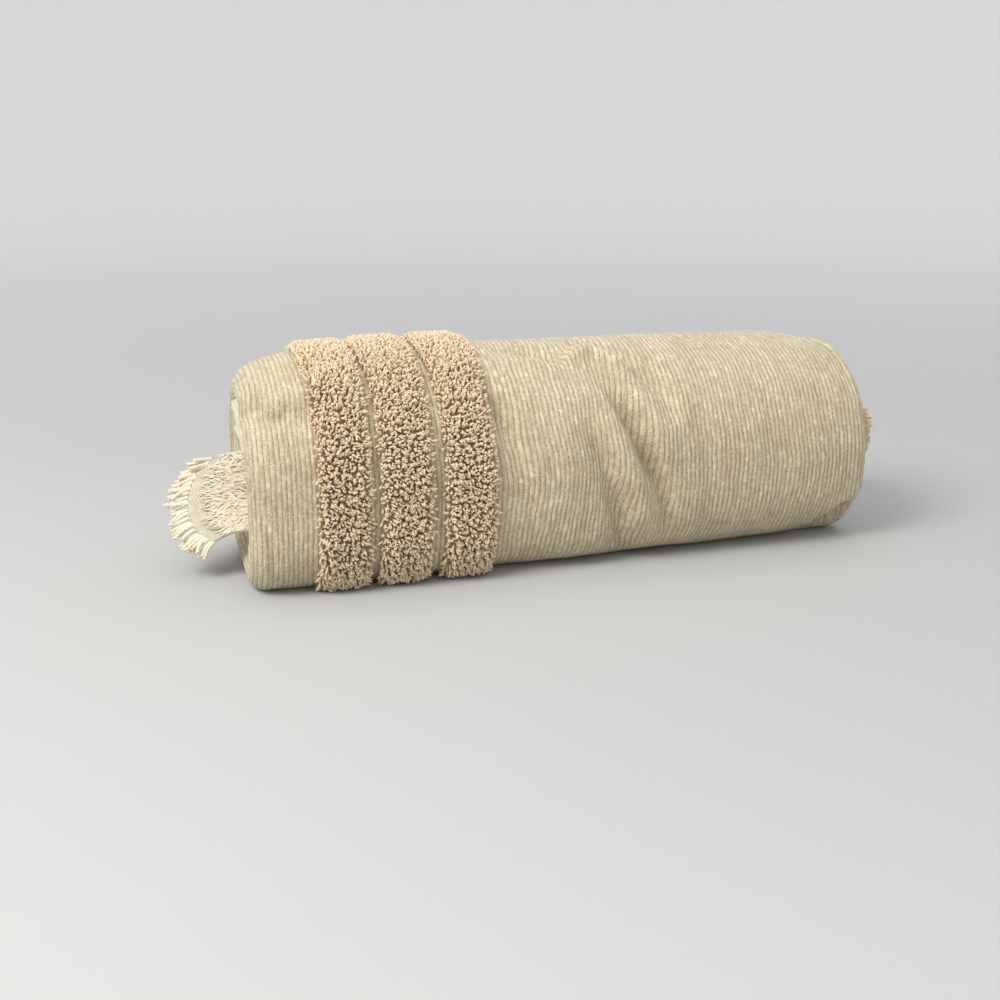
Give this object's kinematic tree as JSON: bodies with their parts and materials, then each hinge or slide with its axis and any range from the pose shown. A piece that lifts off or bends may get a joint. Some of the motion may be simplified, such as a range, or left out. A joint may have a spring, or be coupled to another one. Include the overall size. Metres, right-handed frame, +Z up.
{
  "type": "chenille bedspread",
  "caption": "Ribbed chenille bedspread, folded and rolled up, with raised tufted pile stripes right round the roll and a fringed loose end at one side.",
  "frame": {"origin": "on the surface that the roll lies on, under the middle of the roll", "axes": "+X along the roll, away from the pile stripes; +Z up; the front faces -Y"},
  "size_m": [0.6466, 0.2241, 0.1975],
  "materials": {
    "chenille": "ecru ribbed chenille weave, soft, matt, with a slubby light and dark fleck",
    "pile": "tan cut pile of curly tufts, matt",
    "fringe_yarn": "cream twisted yarn, matt"
  },
  "bodies": {
    "root": {"bedspread_roll": "chenille", "pile_band_1": "pile", "pile_band_2": "pile", "pile_band_3": "pile", "end_pile": "pile", "loose_end": "chenille", "fringe": "fringe_yarn"}
  },
  "joints": []
}
